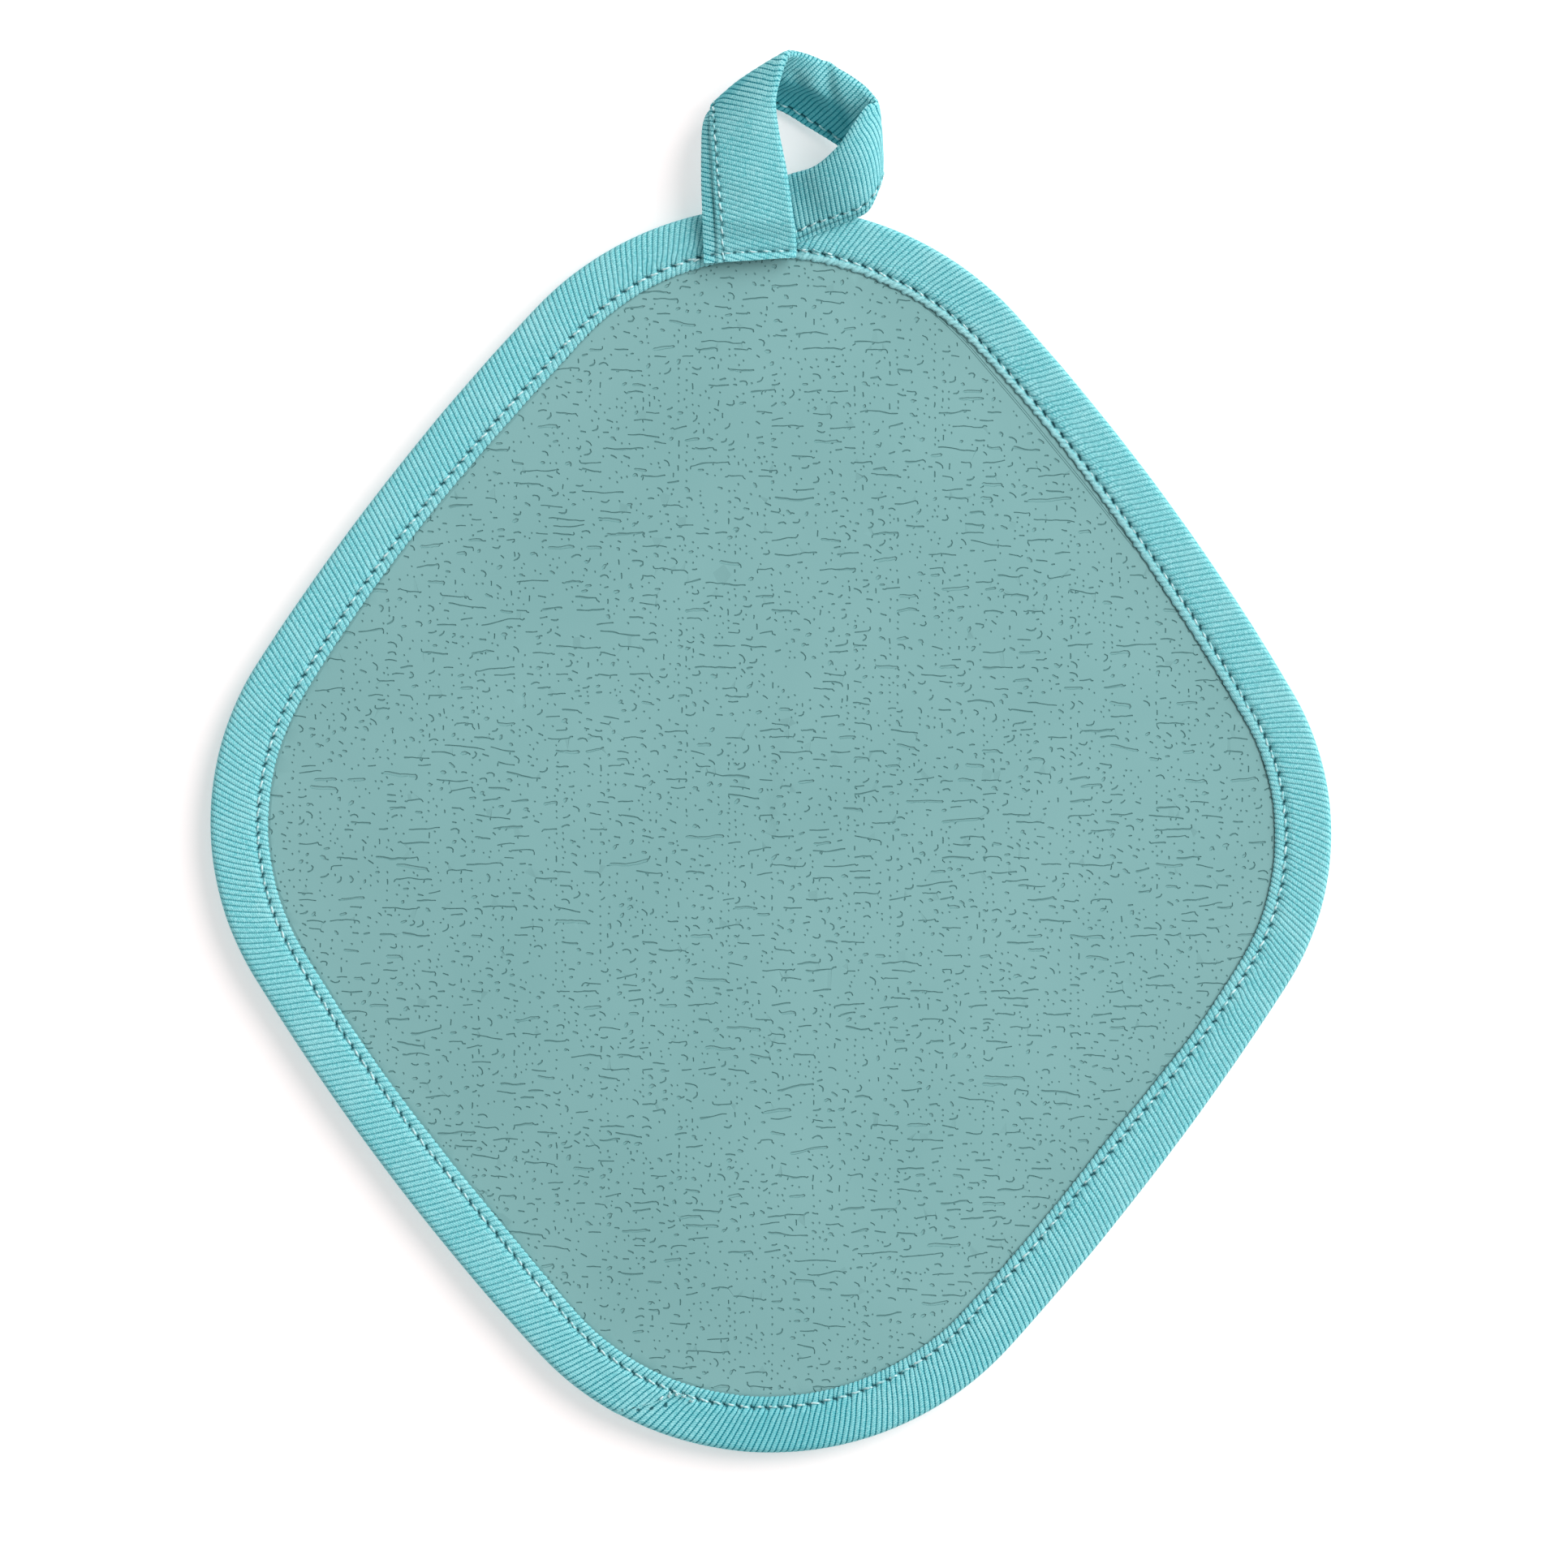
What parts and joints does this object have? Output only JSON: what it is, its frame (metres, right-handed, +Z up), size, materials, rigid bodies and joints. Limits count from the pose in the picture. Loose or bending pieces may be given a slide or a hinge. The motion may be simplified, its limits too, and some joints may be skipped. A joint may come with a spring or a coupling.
{
  "type": "pot holder",
  "caption": "Diamond-shaped pot holder with wide round corners: textured silicone face, padded cloth back, folded twill binding and a folded strap hanging loop.",
  "frame": {"origin": "under the middle of the diamond body, on the flat underside of the padded back that the pot holder rests on", "axes": "+Y from the middle of the body towards the corner with the hanging loop, +X to the right seen from the face, +Z up out of the face"},
  "size_m": [0.203, 0.254, 0.0137],
  "materials": {
    "silicone_face": "matte moulded silicone in grey aqua with fine sunken marks",
    "cotton_back": "plain woven aqua cotton over thin wadding",
    "twill_tape": "ribbed aqua cotton twill with pale stitching"
  },
  "bodies": {
    "root": {"face_panel": "silicone_face", "back_pad": "cotton_back", "binding": "twill_tape", "hanging_loop": "twill_tape"}
  },
  "joints": []
}
